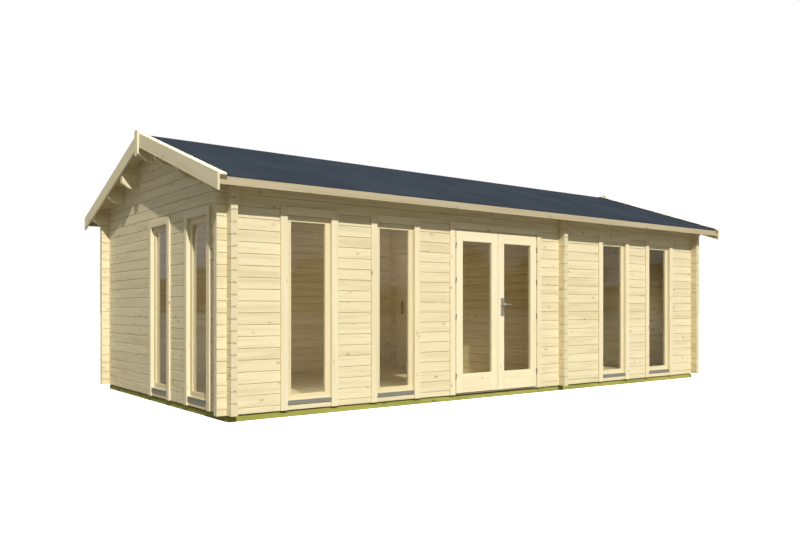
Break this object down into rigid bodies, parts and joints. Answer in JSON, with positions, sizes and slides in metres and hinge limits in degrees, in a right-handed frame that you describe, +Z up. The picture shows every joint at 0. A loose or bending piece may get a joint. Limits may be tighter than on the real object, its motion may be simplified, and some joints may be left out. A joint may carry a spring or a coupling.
{
  "type": "log cabin",
  "caption": "Rectangular log cabin with a gable roof, double glazed door, tall fixed windows, and a partition with an inner door.",
  "frame": {"origin": "centre of the footprint on the ground, under the middle of the roof", "axes": "+Z up, +X along the front from left to right as seen from outside, so the front with the double door faces -Y"},
  "size_m": [8.28, 4.4, 3.0924],
  "materials": {
    "treated_beam": "rough sawn, pressure treated",
    "floorboard": "planed",
    "log": "planed, unpainted spruce",
    "roof_board": "planed",
    "felt": "mineral surfaced bitumen felt",
    "planed_board": "planed, unpainted spruce",
    "joinery": "planed and sanded, unpainted",
    "glass": "clear",
    "sill_metal": "satin",
    "hinge_steel": "satin",
    "handle_metal": "satin"
  },
  "bodies": {
    "cabin": {"long_foundation_beams": "treated_beam", "cross_foundation_beams": "treated_beam", "floor_boards": "floorboard", "front_wall_left": "log", "front_wall_right": "log", "front_wall_over_door": "log", "back_wall": "log", "left_gable_wall": "log", "right_gable_wall": "log", "partition_wall_front": "log", "partition_wall_back": "log", "partition_wall_over_door": "log", "ridge_purlin": "log", "side_purlins": "log", "roof_boards_front": "roof_board", "roof_boards_back": "roof_board", "roof_felt": "felt", "fascias": "planed_board", "left_bargeboards": "planed_board", "right_bargeboards": "planed_board", "apex_plates": "planed_board", "edge_battens": "planed_board", "edge_caps": "planed_board", "window_frames": "planed_board", "window_sashes": "joinery", "window_glass": "glass", "window_covers": "planed_board", "window_sills": "sill_metal", "door_frame": "planed_board", "door_covers": "planed_board", "door_threshold": "sill_metal", "door_hinge_pins": "hinge_steel", "inner_door_frame": "planed_board", "inner_door_covers": "planed_board"},
    "left_leaf": {"left_door_leaf": "joinery", "left_door_glass": "glass", "left_door_hinges": "hinge_steel"},
    "right_leaf": {"right_door_leaf": "joinery", "right_door_glass": "glass", "right_door_hinges": "hinge_steel", "door_handle_plates": "handle_metal"},
    "front_lever": {"door_levers": "handle_metal"},
    "inner_leaf": {"inner_door_leaf": "joinery", "inner_handle_plates": "handle_metal"},
    "inner_lever": {"inner_levers": "handle_metal"}
  },
  "joints": [
    {"name": "left_leaf_hinge", "type": "hinge", "parent": "cabin", "child": "left_leaf", "pos_m": [-1.0415, -1.921, 0.088], "axis": [0, 0, -1], "range_deg": [0, 170]},
    {"name": "right_leaf_hinge", "type": "hinge", "parent": "cabin", "child": "right_leaf", "pos_m": [0.3295, -1.921, 0.088], "axis": [0, 0, 1], "range_deg": [0, 160]},
    {"name": "front_lever_turn", "type": "hinge", "parent": "right_leaf", "child": "front_lever", "pos_m": [-0.2875, -1.893, 1.13], "axis": [0, 1, 0], "range_deg": [0, 40], "stiffness_Nm_per_rad": 1.2, "springref_deg": -22.92},
    {"name": "inner_leaf_hinge", "type": "hinge", "parent": "cabin", "child": "inner_leaf", "pos_m": [0.753, 0.796, 0.095], "axis": [0, 0, 1], "range_deg": [0, 110]},
    {"name": "inner_lever_turn", "type": "hinge", "parent": "inner_leaf", "child": "inner_lever", "pos_m": [0.785, 1.493, 1.13], "axis": [1, 0, 0], "range_deg": [0, 40], "stiffness_Nm_per_rad": 1.2, "springref_deg": -22.92}
  ]
}
